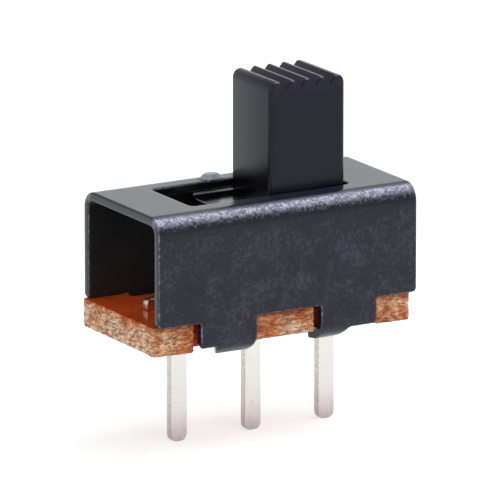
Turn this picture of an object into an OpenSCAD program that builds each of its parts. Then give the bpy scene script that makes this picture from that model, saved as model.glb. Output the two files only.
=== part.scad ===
// Miniature two-position slide switch for a circuit board.
// A folded steel case holds a phenolic terminal board by four tabs that are
// turned under it. A moulded slider carries a sprung contact clip along the
// rails of the terminals, and a sprung ball clicks into two pockets pressed
// up in the case.
//
// X runs along the slider's travel, Y across the case and Z up. The origin is
// on the centre terminal's axis, at the face that sits on the circuit board.
// The slider is drawn at the +X end of its travel.

/* [Case] */
// Length of the folded case, along the slider's travel
case_length = 12.7; // [12:0.1:15]
// Width of the case, outside
case_width = 6.4; // [6.2:0.1:8]
// Height of the case above the terminal board
case_height = 4.75; // [4.6:0.05:6]
// Thickness of the case's sheet
sheet = 0.4; // [0.3:0.05:0.5]
// Outside radius of the case's two long bends
bend_radius = 0.65; // [0.55:0.05:0.75]
// Radius of the walls' lower corners
foot_radius = 0.22; // [0.05:0.01:0.3]

/* [Tabs turned under the board] */
// Distance between the middles of a wall's two tabs
tab_spacing = 5.9; // [5.6:0.1:6.4]
// Width of each tab
tab_width = 2.75; // [2.6:0.05:3]
// Shift of the front wall's tabs towards +X
tab_shift = 0.05; // [0:0.01:0.07]
// How far the tabs' straight edges stop above the board's underside
tab_short = 0.14; // [0:0.02:0.2]
// Outside radius of the folds
fold_radius = 0.9; // [0.7:0.05:1]
// Length of a fold's flat tongue beyond its bend
fold_tongue = 0.3; // [0.2:0.05:0.6]
// Angle by which each fold falls short of a right angle
fold_drop = 8; // [0:1:15]
// Start of the long fold, from its tab's edge
long_fold_start = 0.82; // [0.3:0.02:1.2]
// Run of the sloped end of the long fold
long_fold_slope = 0.25; // [0.1:0.05:0.5]
// How far the long fold's other end slants in towards its tip
long_fold_slant = 0.6; // [0.1:0.05:0.8]
// Width of the short fold
short_fold_width = 1.45; // [1.2:0.05:2]
// Run of the sloped end of the short fold
short_fold_slope = 0.55; // [0.2:0.05:0.8]
// How far the short fold's sloped end slants in towards its tip
short_fold_slant = 0.8; // [0.1:0.05:1]

/* [Terminal board] */
// Length of the terminal board
board_length = 12.7; // [12.2:0.1:15]
// Width of the terminal board
board_width = 6.1; // [5.9:0.05:6.2]
// Thickness of the terminal board
board_thickness = 1.22; // [1:0.02:1.6]
// Corner radius of the terminal board
board_corner = 0.25; // [0.1:0.05:0.6]
// How far the board's outline is cut off-centre towards -X
board_shift_x = 0.12; // [0:0.01:0.2]
// How far the board's outline is cut off-centre towards +Y
board_shift_y = 0.13; // [0:0.01:0.15]
// Play of a tab along its notch
notch_play = 0.26; // [0.16:0.01:0.4]

/* [Terminals] */
// Distance between the terminals
terminal_pitch = 3.65; // [3.4:0.05:3.8]
// Width of a solder pin
pin_width = 0.78; // [0.6:0.02:1]
// Thickness of the terminals' sheet
pin_thickness = 0.38; // [0.25:0.01:0.45]
// Length of a pin below the terminal board
pin_length = 4.72; // [3:0.02:6]
// Height of a terminal's contact rail above the board
rail_height = 0.5; // [0.4:0.02:0.8]
// Radius of the rail's upper corners
rail_corner = 0.25; // [0.1:0.01:0.35]
// Gap between neighbouring rails
rail_gap = 0.55; // [0.5:0.05:1]
// Gap between a pin and its hole in the board, all round
pin_fit = 0.02; // [0.01:0.01:0.04]

/* [Slider] */
// Travel of the slider
travel = 3.7; // [3.2:0.05:4]
// Length of the knob, along the travel
knob_length = 3.72; // [3.6:0.02:4.2]
// Width of the knob
knob_width = 3.28; // [2.6:0.02:3.4]
// Height of the knob above the case
knob_height = 4.84; // [2:0.02:8]
// Radius of the knob's upright corners
knob_corner = 0.18; // [0.05:0.01:0.5]
// Radius of the knob's two top edges that run across the travel
knob_top_radius = 0.36; // [0.05:0.01:0.37]
// Number of grip ridges on the knob
ridge_count = 5; // [3:1:5]
// Distance between the ridges
ridge_pitch = 0.72; // [0.5:0.01:0.75]
// Depth of the grooves between the ridges
ridge_depth = 0.34; // [0.1:0.02:0.5]
// Width of the flat left on top of each ridge
ridge_land = 0.16; // [0.05:0.01:0.3]
// Thickness of the carriage plate under the case's top
plate_thickness = 1.2; // [0.8:0.05:1.5]
// Corner radius of the carriage plate
plate_corner = 2.3; // [0.5:0.1:2.4]
// Width of the keel that holds the contact clip
keel_width = 2.9; // [2.5:0.05:3]
// Keel material beyond each end of the clip's pocket
keel_end = 0.5; // [0.3:0.05:0.9]

/* [Contact clip] */
// Thickness of the contact clip's strip
clip_sheet = 0.15; // [0.1:0.01:0.2]
// Width of the contact clip's strip
clip_width = 1.3; // [1:0.05:1.6]
// Length of the clip's flat bridge
bridge_length = 1.6; // [1.2:0.05:2.2]
// Height of the clip's bridge above the rails
bridge_rise = 0.9; // [0.6:0.05:1.2]
// Run of the upturned end beyond each contact
toe_run = 0.6; // [0.4:0.05:0.8]
// Rise of the upturned end beyond each contact
toe_rise = 0.35; // [0.2:0.05:0.5]

/* [Detent] */
// Diameter of the detent ball
ball_diameter = 0.8; // [0.7:0.02:0.84]
// How far the detent stands from the slider's middle, towards +X
detent_offset = 1.18; // [0.6:0.01:1.5]
// Depth of the pocket that the ball clicks into
pocket_depth = 0.19; // [0.17:0.01:0.22]
// Width of the raised dome over each pocket
dome_width = 1.16; // [0.9:0.02:1.2]
// Height of the raised dome over each pocket
dome_height = 0.26; // [0.15:0.01:0.3]
// Wire diameter of the detent spring
spring_wire = 0.12; // [0.08:0.01:0.16]
// Number of turns of the detent spring
spring_turns = 6; // [3:1:8]
// Depth of the hole for the ball and its spring
detent_hole_depth = 2.7; // [2.2:0.05:3]

/* [Clearances] */
// Gap between the knob and each end of its slot
slot_end_gap = 0.18; // [0.08:0.01:0.3]
// Gap between the knob and each side of its slot
slot_side_gap = 0.07; // [0.05:0.005:0.1]
// Gap between the carriage and the open ends of the case
carriage_end_gap = 0.41; // [0.1:0.01:0.5]
// Gap between the carriage and each wall of the case
carriage_side_gap = 0.08; // [0.05:0.01:0.15]
// Gap between the carriage and the case's top, and between keel and board
glide_gap = 0.04; // [0.02:0.01:0.06]
// Gap between the ball and its hole, all round
ball_fit = 0.03; // [0.02:0.01:0.05]
// Gap between the riding ball and the case's top
ball_ride_gap = 0.02; // [0.01:0.01:0.03]
// Gap between the clip and its pocket's walls, all round
clip_fit = 0.05; // [0.03:0.01:0.08]
// Gap between the clip's contacts and the rails
contact_gap = 0.02; // [0.01:0.01:0.04]

/* [Hidden] */
$fn = 48;

// Sinks one shape into the next, so that they join as one solid
joint_overlap = 0.05;
// Runs a cut past the face that it opens
cut_past = 0.5;
// Case material left between a detent pocket and the slot
pocket_rim = 0.05;
// Slider material round the detent's hole
detent_wall = 0.4;

// Heights above the seating face
fold_z = fold_tongue * sin(fold_drop) + (fold_radius - sheet / 2) * cos(fold_drop) + sheet / 2;
board_bottom = fold_z - (fold_radius - sheet) * cos(fold_drop);
board_top = board_bottom + board_thickness;
tab_bottom = board_bottom + tab_short;
case_top = board_top + case_height;
case_ceiling = case_top - sheet;

// Slot and carriage
slot_length = knob_length + travel + 2 * slot_end_gap;
slot_width = knob_width + 2 * slot_side_gap;
slot_corner = knob_corner + slot_side_gap;
slider_x = travel / 2;
carriage_length = case_length - travel - 2 * carriage_end_gap;
carriage_width = case_width - 2 * sheet - 2 * carriage_side_gap;
carriage_top = case_ceiling - glide_gap;
// The carriage's long top edges follow the inside of the case's bends
carriage_edge = bend_radius - sheet;
plate_bottom = carriage_top - plate_thickness;
keel_bottom = board_top + glide_gap;
knob_top = case_top + knob_height;

// Terminals and clip
rail_length = terminal_pitch - rail_gap;
rail_top = board_top + rail_height;
contact_z = rail_top + contact_gap + clip_sheet / 2;
bridge_z = rail_top + bridge_rise;
pocket_length = terminal_pitch + 2 * toe_run + clip_sheet + 2 * clip_fit;
pocket_width = clip_width + 2 * clip_fit;

// Detent, in the middle of the flat strip between the slot and the bend
detent_y = (slot_width / 2 + case_width / 2 - bend_radius) / 2;
ball_radius = ball_diameter / 2;
ball_z = case_ceiling - ball_ride_gap - ball_radius;
detent_hole_radius = ball_radius + ball_fit;
detent_floor = carriage_top - detent_hole_depth;
pocket_mouth = 2 * (detent_y - slot_width / 2 - pocket_rim);

// Radius of a sphere whose cap is 'height' high and 'width' wide
function cap_radius(width, height) =
    (width * width / 4 + height * height) / (2 * height);

// A flat rectangle, centred, with rounded corners
module round_rectangle(length, width, radius) {
    square([length - 2 * radius, width], center = true);
    square([length, width - 2 * radius], center = true);
    for (x = [-1, 1], y = [-1, 1])
        translate([x * (length / 2 - radius), y * (width / 2 - radius)])
            circle(radius);
}

// A flat arch, standing on its base line, with rounded top corners
module arch(width, height, radius) {
    translate([-width / 2, 0])
        square([width, height - radius]);
    translate([-width / 2 + radius, 0])
        square([width - 2 * radius, height]);
    for (side = [-1, 1])
        translate([side * (width / 2 - radius), height - radius])
            circle(radius);
}

// Stands a section drawn in Y and Z along X, centred on the origin
module along_x(length) {
    rotate([90, 0, 90])
        linear_extrude(height = length, center = true)
            children();
}

// Stands an outline drawn in X and Z along Y, centred on the origin
module along_y(width) {
    rotate([90, 0, 0])
        linear_extrude(height = width, center = true)
            children();
}

// The open-ended channel that the sheet is bent into
module channel() {
    translate([0, 0, board_top])
        along_x(case_length)
            difference() {
                arch(case_width, case_height, bend_radius);
                translate([0, -cut_past])
                    arch(
                        case_width - 2 * sheet,
                        case_height - sheet + cut_past,
                        bend_radius - sheet
                    );
            }
}

// What is cut from a wall's lower corner to round it
module foot_corner() {
    translate([case_length / 2 - foot_radius, 0, board_top + foot_radius])
        along_y(case_width + 2 * cut_past)
            difference() {
                translate([0, -foot_radius - cut_past])
                    square([foot_radius + cut_past, foot_radius + cut_past]);
                circle(foot_radius);
            }
}

// Section in Y and Z of the front wall's fold under the board
module fold_section() {
    translate([-case_width / 2 + fold_radius, fold_z]) {
        difference() {
            circle(fold_radius);
            circle(fold_radius - sheet);
            translate([-fold_radius - cut_past, 0])
                square(2 * (fold_radius + cut_past));
            rotate(-fold_drop)
                translate([0, -fold_radius - cut_past])
                    square(2 * (fold_radius + cut_past));
        }
        rotate(-fold_drop) {
            translate([0, -fold_radius])
                square([fold_tongue, sheet]);
            translate([fold_tongue, sheet / 2 - fold_radius])
                circle(sheet / 2);
        }
    }
}

// A fold of the front wall from x = 0. Its far end slopes up to the tab's
// straight edge, and both its ends can slant in towards its tip
module fold(width, slope, slants) {
    depth = fold_radius + fold_tongue + sheet;
    past = fold_z / tab_bottom;
    difference() {
        intersection() {
            translate([width / 2, 0, 0])
                along_x(width + 2 * cut_past)
                    fold_section();
            translate([0, -case_width / 2 - cut_past, -cut_past])
                linear_extrude(height = fold_z + 2 * cut_past)
                    polygon([
                        [0, 0],
                        [0, cut_past + sheet],
                        [slants[0], cut_past + depth],
                        [width - slants[1], cut_past + depth],
                        [width, cut_past + sheet],
                        [width, 0]
                    ]);
        }
        translate([width - slope, 0, 0])
            along_y(2 * case_width)
                polygon([
                    [-past * slope, -past * tab_bottom],
                    [past * slope, past * tab_bottom],
                    [past * slope, -past * tab_bottom]
                ]);
    }
}

// One tab of the front wall from x = 0, with a fold that starts at 'start'
module tab(start, width, slope, slants) {
    difference() {
        translate([0, -case_width / 2, tab_bottom])
            cube([tab_width, sheet, board_top - tab_bottom + joint_overlap]);
        translate([start, -case_width / 2 - cut_past, tab_bottom - cut_past])
            cube([width, 2 * cut_past + sheet, cut_past + fold_z - tab_bottom]);
    }
    translate([start, 0, 0])
        fold(width, slope, slants);
}

// The front wall's two tabs
module wall_tabs() {
    translate([tab_shift - tab_spacing / 2 - tab_width / 2, 0, 0])
        tab(long_fold_start, tab_width - long_fold_start, long_fold_slope, [long_fold_slant, 0]);
    translate([tab_shift + tab_spacing / 2 - tab_width / 2, 0, 0])
        tab(0, short_fold_width, short_fold_slope, [0, short_fold_slant]);
}

// The two detent places, one travel apart
module at_detents() {
    for (side = [-1, 1])
        translate([detent_offset + side * travel / 2, detent_y, 0])
            children();
}

// Folded case: channel, slot, raised detent domes and turned-under tabs
module case() {
    dome_radius = cap_radius(dome_width, dome_height);
    pocket_radius = cap_radius(pocket_mouth, pocket_depth);
    color([0.09, 0.09, 0.10])
        difference() {
            union() {
                channel();
                wall_tabs();
                rotate([0, 0, 180])
                    wall_tabs();
                at_detents()
                    intersection() {
                        translate([0, 0, case_top + dome_height - dome_radius])
                            sphere(dome_radius);
                        translate([-dome_width, -dome_width, case_top - sheet / 2])
                            cube([2 * dome_width, 2 * dome_width, dome_width]);
                    }
            }
            translate([0, 0, case_ceiling - cut_past])
                linear_extrude(height = sheet + 2 * cut_past)
                    round_rectangle(slot_length, slot_width, slot_corner);
            at_detents()
                translate([0, 0, case_ceiling + pocket_depth - pocket_radius])
                    sphere(pocket_radius);
            for (turn = [0, 180])
                rotate([0, 0, turn])
                    foot_corner();
        }
}

// Terminal board: punched phenolic sheet with four notches and three slots
module terminal_board() {
    notch_floor = case_width / 2 - fold_radius;
    notch_width = tab_width + notch_play;
    color([0.62, 0.27, 0.13])
        translate([0, 0, board_bottom])
            linear_extrude(height = board_thickness)
                difference() {
                    translate([-board_shift_x, board_shift_y])
                        round_rectangle(board_length, board_width, board_corner);
                    for (x = [-1, 1], y = [-1, 1])
                        translate([x * tab_spacing / 2, y * (notch_floor + board_width / 2)])
                            square([notch_width, board_width], center = true);
                    for (i = [-1, 0, 1])
                        translate([i * terminal_pitch, 0])
                            square(
                                [pin_width + 2 * pin_fit, pin_thickness + 2 * pin_fit],
                                center = true
                            );
                }
}

// One terminal: a flat stamping with a rail above the board and a pin below
module terminal(place) {
    pin_end = board_bottom - pin_length;
    color([0.80, 0.79, 0.76])
        translate([place * terminal_pitch, 0, 0])
            along_y(pin_thickness) {
                translate([0, board_top])
                    arch(rail_length, rail_height, rail_corner);
                translate([-pin_width / 2, pin_end + pin_width / 2])
                    square([pin_width, board_top - pin_end - pin_width / 2 + joint_overlap]);
                translate([0, pin_end + pin_width / 2])
                    circle(pin_width / 2);
            }
}

module terminal_left() {
    terminal(-1);
}

module terminal_centre() {
    terminal(0);
}

module terminal_right() {
    terminal(1);
}

// Outline in X and Z of the knob, with its ridges, above the carriage's top
module knob_outline() {
    groove_half = (ridge_pitch - ridge_land) / 2;
    height = knob_top - carriage_top + joint_overlap;
    difference() {
        arch(knob_length, height, knob_top_radius);
        for (i = [1 : ridge_count - 1])
            translate([(i - ridge_count / 2) * ridge_pitch, height])
                polygon([[-groove_half, 0], [groove_half, 0], [0, -ridge_depth]]);
    }
}

// Slider moulding: knob, carriage plate, keel and the boss of the detent hole
module slider() {
    keel_length = pocket_length + 2 * keel_end;
    boss_length = 2 * (detent_hole_radius + detent_wall);
    boss_bottom = detent_floor - detent_wall;
    color([0.06, 0.06, 0.07])
        translate([slider_x, 0, 0])
            difference() {
                union() {
                    intersection() {
                        translate([0, 0, carriage_top - joint_overlap])
                            along_y(knob_width)
                                knob_outline();
                        translate([0, 0, plate_bottom])
                            linear_extrude(height = knob_top - plate_bottom)
                                round_rectangle(knob_length, knob_width, knob_corner);
                    }
                    intersection() {
                        translate([0, 0, plate_bottom])
                            linear_extrude(height = plate_thickness + cut_past)
                                round_rectangle(carriage_length, carriage_width, plate_corner);
                        translate([0, 0, plate_bottom - cut_past])
                            along_x(carriage_length + 2 * cut_past)
                                arch(carriage_width, plate_thickness + cut_past, carriage_edge);
                    }
                    translate([-keel_length / 2, -keel_width / 2, keel_bottom])
                        cube([
                            keel_length,
                            keel_width,
                            plate_bottom - keel_bottom + joint_overlap
                        ]);
                    translate([detent_offset - boss_length / 2, 0, boss_bottom])
                        cube([
                            boss_length,
                            carriage_width / 2,
                            plate_bottom - boss_bottom + joint_overlap
                        ]);
                }
                translate([-pocket_length / 2, -pocket_width / 2, keel_bottom - cut_past])
                    cube([
                        pocket_length,
                        pocket_width,
                        bridge_z + clip_sheet / 2 - keel_bottom + cut_past
                    ]);
                translate([
                    -keel_length / 2 - cut_past,
                    -pin_thickness / 2 - carriage_side_gap,
                    keel_bottom - cut_past
                ])
                    cube([
                        keel_length + 2 * cut_past,
                        pin_thickness + 2 * carriage_side_gap,
                        rail_top + carriage_side_gap - keel_bottom + cut_past
                    ]);
                translate([detent_offset, detent_y, detent_floor])
                    cylinder(r = detent_hole_radius, h = detent_hole_depth + cut_past);
            }
}

// A length of strip between two points of a section, with round ends
module strip(from, to, thickness) {
    run = to - from;
    translate(from)
        rotate(atan2(run[1], run[0]))
            translate([0, -thickness / 2])
                square([norm(run), thickness]);
    for (end = [from, to])
        translate(end)
            circle(thickness / 2);
}

// Contact clip: a bent strip that presses on two rails, held at its bridge
module contact_clip() {
    half = [
        [0, bridge_z],
        [bridge_length / 2, bridge_z],
        [terminal_pitch / 2, contact_z],
        [terminal_pitch / 2 + toe_run, contact_z + toe_rise]
    ];
    color([0.78, 0.74, 0.66])
        translate([slider_x, 0, 0])
            along_y(clip_width)
                for (side = [0, 1], i = [0 : len(half) - 2])
                    mirror([side, 0])
                        strip(half[i], half[i + 1], clip_sheet);
}

// Detent ball, drawn at the height where it rides under the case's top
module detent_ball() {
    color([0.75, 0.76, 0.78])
        translate([slider_x + detent_offset, detent_y, ball_z])
            sphere(ball_radius);
}

// Detent spring: a coil from the hole's floor to the underside of the ball
module detent_spring() {
    sides = 8;
    steps = 12;
    wire_radius = spring_wire / 2;
    coil_radius = ball_radius - wire_radius - spring_wire / 4;
    low = detent_floor + wire_radius;
    // The top turn meets the ball where its slope carries the wire
    seat = sqrt(pow(ball_radius + wire_radius, 2) - pow(coil_radius, 2));
    high = ball_z - seat;
    rings = spring_turns * steps;
    points = [
        for (i = [0 : rings], j = [0 : sides - 1])
            let (
                turn = 360 * i / steps,
                around = 360 * j / sides,
                reach = coil_radius + wire_radius * cos(around)
            )
            [
                reach * cos(turn),
                reach * sin(turn),
                low + (high - low) * i / rings + wire_radius * sin(around)
            ]
    ];
    skin = [
        for (i = [0 : rings - 1], j = [0 : sides - 1])
            let (next = (j + 1) % sides)
            [
                i * sides + j,
                (i + 1) * sides + j,
                (i + 1) * sides + next,
                i * sides + next
            ]
    ];
    start_cap = [[for (j = [0 : sides - 1]) j]];
    end_cap = [[for (j = [sides - 1 : -1 : 0]) rings * sides + j]];
    color([0.62, 0.63, 0.65])
        translate([slider_x + detent_offset, detent_y, 0])
            polyhedron(points = points, faces = concat(skin, start_cap, end_cap));
}

case();
terminal_board();
terminal_left();
terminal_centre();
terminal_right();
slider();
contact_clip();
detent_ball();
detent_spring();
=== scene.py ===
import math

import bmesh
import bpy
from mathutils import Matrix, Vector, geometry, kdtree, noise


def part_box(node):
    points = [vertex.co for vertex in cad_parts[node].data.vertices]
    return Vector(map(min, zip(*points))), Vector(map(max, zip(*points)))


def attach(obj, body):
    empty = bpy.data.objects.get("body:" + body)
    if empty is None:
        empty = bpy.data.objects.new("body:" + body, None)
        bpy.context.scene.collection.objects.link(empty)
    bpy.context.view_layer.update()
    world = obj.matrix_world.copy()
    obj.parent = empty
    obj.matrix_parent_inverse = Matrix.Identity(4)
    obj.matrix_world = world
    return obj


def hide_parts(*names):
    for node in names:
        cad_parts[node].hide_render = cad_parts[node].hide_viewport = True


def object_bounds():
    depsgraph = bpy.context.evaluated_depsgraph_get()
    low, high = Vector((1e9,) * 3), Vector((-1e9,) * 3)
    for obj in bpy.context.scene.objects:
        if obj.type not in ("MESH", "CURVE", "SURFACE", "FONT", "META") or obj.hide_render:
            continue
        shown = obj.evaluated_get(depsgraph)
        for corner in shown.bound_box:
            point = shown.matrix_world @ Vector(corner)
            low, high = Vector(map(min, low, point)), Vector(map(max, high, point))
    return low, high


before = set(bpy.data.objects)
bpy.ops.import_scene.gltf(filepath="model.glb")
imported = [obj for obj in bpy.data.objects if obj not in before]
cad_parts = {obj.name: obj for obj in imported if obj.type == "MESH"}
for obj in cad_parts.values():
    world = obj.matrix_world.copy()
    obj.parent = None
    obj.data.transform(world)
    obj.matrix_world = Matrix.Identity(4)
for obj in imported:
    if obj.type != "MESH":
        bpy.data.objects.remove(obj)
cad_box = [list(corner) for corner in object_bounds()]


# ---------------------------------------------------------------------------
# Case: a blank of mild steel sheet with a slot, four tabs and two pressed-up
# domes, folded into a channel and painted black. The tabs are turned under the
# terminal board last. Each cut edge is a little rounded by the paint.
# ---------------------------------------------------------------------------

MM = 0.001
SHEET = 0.4 * MM
CASE_HALF_LENGTH = 6.35 * MM
CASE_HALF_WIDTH = 3.2 * MM
CASE_HEIGHT = 4.75 * MM
CASE_BEND = 0.76 * MM
CASE_FOOT_CORNER = 0.22 * MM
CASE_EDGE = 0.075 * MM
BLANK_STEP, SLOT_STEP, CASE_FILL_STEP = 0.1 * MM, 0.08 * MM, 0.14 * MM
FILL_CLEARANCE, FILL_INSET, TAB_FILL = 0.06 * MM, 0.05 * MM, 1.4 * MM
TAB_FOLD = 0.9 * MM
TAB_FOLD_ANGLE = math.radians(82)
FOLD_LINE_HEIGHT = 0.935 * MM
SLOT_HALF_LENGTH = 3.89 * MM
SLOT_HALF_WIDTH = 1.71 * MM
SLOT_CORNER = 0.25 * MM
DOME_CENTRES = [(-0.7 * MM, 2.17 * MM), (3.0 * MM, 2.17 * MM)]
DOME_HALF_LENGTH = 0.6 * MM
DOME_HALF_WIDTH = 0.46 * MM
DOME_HEIGHT = 0.21 * MM
DOME_CROWN = 0.45
DOME_RINGS, DOME_CLEARANCE = 10, 1.06
POCKET_SHARE = 0.8
POCKET_DEPTH = 0.19 * MM


def rounded_path(corners, step):
    """Points along a closed outline of (x, y, corner radius), about a step apart."""
    points = []
    for i, (x, y, radius) in enumerate(corners):
        here = Vector((x, y))
        back = (Vector(corners[i - 1][:2]) - here).normalized() * radius
        ahead = (Vector(corners[(i + 1) % len(corners)][:2]) - here).normalized() * radius
        for t in (0, 0.17, 0.34, 0.5, 0.66, 0.83, 1):
            points.append(here + back * (1 - t) ** 2 + ahead * t ** 2)
    path = []
    for a, b in zip(points, points[1:] + points[:1]):
        pieces = max(1, round((b - a).length / step))
        path += [a.lerp(b, k / pieces) for k in range(pieces)]
    return path


def grid_inside(low, high, step):
    """Points of a square grid that covers a rectangle."""
    columns = round((high[0] - low[0]) / step)
    rows = round((high[1] - low[1]) / step)
    return [
        Vector((low[0] + (high[0] - low[0]) * i / columns, low[1] + (high[1] - low[1]) * j / rows))
        for i in range(columns + 1) for j in range(rows + 1)]


def lies_inside(point, loop):
    """Whether a point lies inside a closed loop."""
    inside = False
    for a, b in zip(loop, loop[1:] + loop[:1]):
        if (a.y > point.y) != (b.y > point.y):
            if point.x < a.x + (point.y - a.y) * (b.x - a.x) / (b.y - a.y):
                inside = not inside
    return inside


def fill_loops(loops, filling, clearance):
    """Triangles that fill a flat loop round its holes, with those of the filling
    points that keep clear of every rim. Gives the points, the rim point's number
    for each one or None, and the triangles."""
    points, edges = [], []
    for loop in loops:
        first, count = len(points), len(loop)
        points += loop
        edges += [(first + i, first + (i + 1) % count) for i in range(count)]
    rim_count = len(points)
    rim = kdtree.KDTree(rim_count)
    for i, p in enumerate(points):
        rim.insert((p.x, p.y, 0), i)
    rim.balance()
    points += [p for p in filling if rim.find((p.x, p.y, 0))[2] > clearance]
    points, _, triangles, origins = geometry.delaunay_2d_cdt(points, edges, [], 2, 1e-9)[:4]
    if not all(origins):
        raise ValueError("a cut edge crosses itself")
    on_rim = [came[0] if came[0] < rim_count else None for came in origins]
    kept = []
    for triangle in triangles:
        middle = sum((points[i] for i in triangle), Vector((0, 0))) / 3
        if not any(lies_inside(middle, hole) for hole in loops[1:]):
            kept.append(triangle)
    return points, on_rim, kept


def drop_loose(bm):
    """Deletes the vertices that no face uses."""
    loose = [v for v in bm.verts if not v.link_faces]
    bmesh.ops.delete(bm, geom=loose, context="VERTS")


def away_from(loop):
    """The outward direction at each point of an anticlockwise loop."""
    ahead = loop[1:] + loop[:1]
    along = [(after - before).normalized() for before, after in zip(loop[-1:] + loop, ahead)]
    return [Vector((a.y, -a.x)) for a in along]


def cut_slab(loops, thickness, edge, filling=(), edge_steps=3):
    """A flat slab about z = 0 with rounded cut edges, as a bmesh. The first loop
    runs anticlockwise and holes clockwise. The edge's radius may depend on the
    point. A slab that is bent later is filled with the points given. The vertex
    attribute cut_edge is high along the rounded rims."""
    bm = bmesh.new()
    mark = bm.verts.layers.float.new("cut_edge")
    half = thickness / 2
    turns = [math.pi / 2 * k / edge_steps for k in range(edge_steps + 1)]
    flat_loops, top_verts, low_verts = [], [], []
    for loop in loops:
        radii = [edge(p) if callable(edge) else edge for p in loop]
        rings = []
        for side, order in ((1, turns), (-1, turns[::-1])):
            for turn in order:
                rings.append([
                    bm.verts.new((
                        p.x - away.x * r * (1 - math.sin(turn)),
                        p.y - away.y * r * (1 - math.sin(turn)),
                        side * (half - r * (1 - math.cos(turn)))))
                    for p, away, r in zip(loop, away_from(loop), radii)])
                for vert in rings[-1]:
                    vert[mark] = math.sin(2 * turn)
        for upper, lower in zip(rings, rings[1:]):
            for i in range(len(loop)):
                bm.faces.new((upper[i - 1], lower[i - 1], lower[i], upper[i]))
        flat_loops.append([v.co.xy for v in rings[0]])
        top_verts += rings[0]
        low_verts += rings[-1]
    for face in bm.faces:
        face.smooth = True
    if not filling:
        bm.faces.new(top_verts)
        bm.faces.new(low_verts[::-1])
        return bm
    points, on_rim, triangles = fill_loops(flat_loops, filling, FILL_CLEARANCE)
    for side, rim_verts in ((1, top_verts), (-1, low_verts)):
        verts = [
            bm.verts.new((p.x, p.y, side * half)) if number is None else rim_verts[number]
            for p, number in zip(points, on_rim)]
        for triangle in triangles:
            bm.faces.new([verts[i] for i in triangle[::side]]).smooth = True
    drop_loose(bm)
    return bm


def place_object(name, data):
    """Adds an object to the scene."""
    made = bpy.data.objects.new(name, data)
    bpy.context.scene.collection.objects.link(made)
    return made


def place_mesh(bm, name):
    """Turns a bmesh into an object of the scene."""
    mesh = bpy.data.meshes.new(name)
    bm.to_mesh(mesh)
    bm.free()
    return place_object(name, mesh)


def add(tree, kind, inputs=None, stops=(), **settings):
    """Adds a node with its settings and links. An input is a value, a socket to
    link, or a node whose first output is linked. A colour ramp takes its stops
    as (place, hex code)."""
    node = tree.nodes.new(kind)
    for key, value in settings.items():
        setattr(node, key, value)
    for key, value in (inputs or {}).items():
        if isinstance(value, bpy.types.Node):
            value = next(socket for socket in value.outputs if socket.enabled)
        if isinstance(value, bpy.types.NodeSocket):
            tree.links.new(value, node.inputs[key])
        else:
            node.inputs[key].default_value = value
    for i, (position, code) in enumerate(stops):
        elements = node.color_ramp.elements
        element = elements[i] if i < len(elements) else elements.new(position)
        element.position = position
        element.color = hex_colour(code)
    return node


def hex_colour(code):
    """Linear RGBA of an sRGB hex code such as "#c98f6a"."""
    channels = [int(code[i:i + 2], 16) / 255 for i in (1, 3, 5)]
    linear = [c / 12.92 if c <= 0.04045 else ((c + 0.055) / 1.055) ** 2.4 for c in channels]
    return (*linear, 1.0)


def start_material(name):
    """A new material, and its empty node tree."""
    made = bpy.data.materials.new(name)
    made.use_nodes = True
    made.node_tree.nodes.clear()
    return made, made.node_tree


def start_geometry(name, moved, numbers, counts=()):
    """A Geometry Nodes tree that passes on one socket, its name and its kind, and
    has named inputs for numbers and counts. Gives the tree and its inputs."""
    tree = bpy.data.node_groups.new(name, "GeometryNodeTree")
    tree.interface.new_socket(moved[0], in_out="INPUT", socket_type=moved[1])
    for kind, keys in (("NodeSocketFloat", numbers), ("NodeSocketInt", counts)):
        for key in keys:
            tree.interface.new_socket(key, in_out="INPUT", socket_type=kind)
    tree.interface.new_socket(moved[0], in_out="OUTPUT", socket_type=moved[1])
    return tree, tree.nodes.new("NodeGroupInput").outputs


def run_geometry(piece, tree, values):
    """Runs a Geometry Nodes tree on a piece and keeps the result as its mesh."""
    shaper = piece.modifiers.new(tree.name, "NODES")
    shaper.node_group = tree
    for socket in tree.interface.items_tree:
        if socket.in_out == "INPUT" and socket.name in values:
            shaper[socket.identifier] = values[socket.name]
    bpy.context.view_layer.update()
    shaped = piece.evaluated_get(bpy.context.evaluated_depsgraph_get())
    result = bpy.data.meshes.new_from_object(shaped)
    piece.modifiers.clear()
    plain = piece.data
    piece.data = result
    bpy.data.meshes.remove(plain)
    result.name = piece.name


# Stoved black paint on steel: glossy and bluish black, a little mottled. The top
# lay uppermost in the oven, so its coat flowed out smooth, with a higher gloss;
# faces turned up are also painted lighter and bluer, a painted sheen, and the
# domes are painted pale, a painted highlight. A speckled painted highlight of
# pale metal lies round the bend and low on the folds, with a painted glint along
# the slot's rim, and the walls' cut edges below the bend are chipped to bare
# metal. Painted shade makes it deepest black just below the bend, and the slot's
# cut faces are painted darker as painted shade. It is plain inside the case. The
# grain is drawn at 0.13 mm, coarser than the real one, so that it shows.
case_paint, tree = start_material("stoved_black_paint")
place = add(tree, "ShaderNodeTexCoord").outputs["Object"]
grain = add(tree, "ShaderNodeTexNoise", {
    "Vector": place, "Scale": 1 / (0.13 * MM), "Detail": 2.5, "Roughness": 0.55})
patch = add(tree, "ShaderNodeTexNoise", {
    "Vector": place, "Scale": 1 / (0.9 * MM), "Detail": 4.0, "Roughness": 0.6})
axes = add(tree, "ShaderNodeSeparateXYZ", {"Vector": place}).outputs
along, across = (
    add(tree, "ShaderNodeMath", {0: axes[key]}, operation="ABSOLUTE") for key in "XY")
upward = add(tree, "ShaderNodeSeparateXYZ", {
    "Vector": add(tree, "ShaderNodeNewGeometry").outputs["Normal"]}).outputs["Z"]
rim = add(tree, "ShaderNodeAttribute", attribute_name="cut_edge").outputs["Fac"]

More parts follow.
